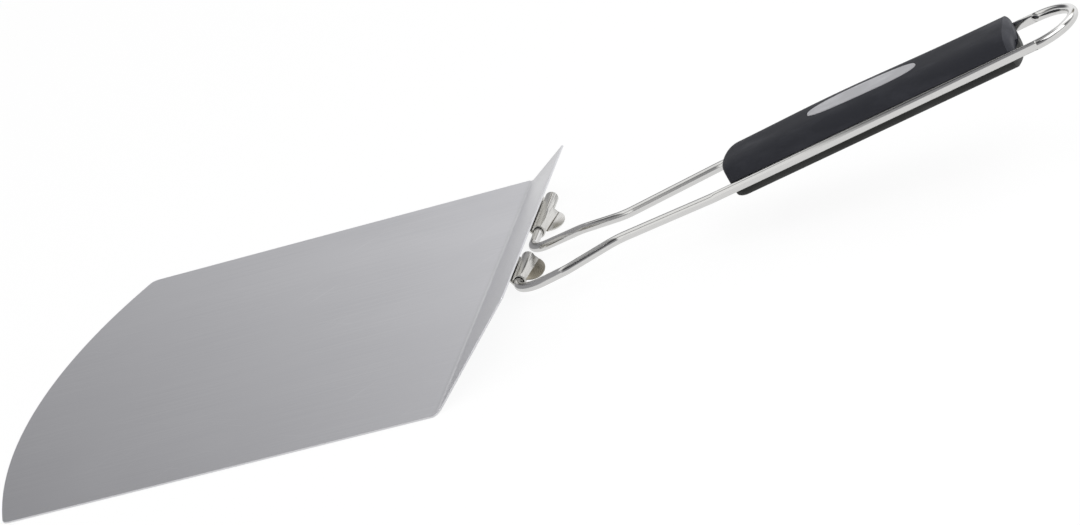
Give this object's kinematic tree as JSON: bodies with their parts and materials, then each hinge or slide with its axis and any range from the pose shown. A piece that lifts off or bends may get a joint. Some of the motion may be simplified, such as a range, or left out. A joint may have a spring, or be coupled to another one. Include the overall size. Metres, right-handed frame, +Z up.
{
  "type": "folding pizza peel",
  "caption": "Thin steel peel blade with a bowed front edge and a folded rear flange, hinged to a bent wire handle with a dark grip that folds down and under the blade for storage",
  "frame": {"origin": "middle of the blade's flat underside, halfway along its straight sides; this face lies on the table", "axes": "+X across the blade towards the side the hinge pins point to, +Y towards the bowed front edge, +Z up"},
  "size_m": [0.343, 0.6998, 0.0792],
  "materials": {
    "blade_steel": "fine brushed",
    "bracket_steel": "smooth, slightly polished",
    "chromed_wire": "bright polished",
    "grip_plastic": "matte, fine grain",
    "inlay_plastic": "satin",
    "screw_steel": "zinc plated"
  },
  "bodies": {
    "blade": {"blade": "blade_steel", "near_bracket": "bracket_steel", "far_bracket": "bracket_steel"},
    "handle": {"wire_handle": "chromed_wire", "grip_upper_shell": "grip_plastic", "grip_lower_shell": "grip_plastic", "grip_inlay": "inlay_plastic", "grip_screw_front": "screw_steel", "grip_screw_rear": "screw_steel"}
  },
  "joints": [
    {"name": "handle_fold", "type": "hinge", "parent": "blade", "child": "handle", "pos_m": [0.05, -0.1619, 0.0049], "axis": [1, 0, 0], "range_deg": [-41, 170]}
  ]
}
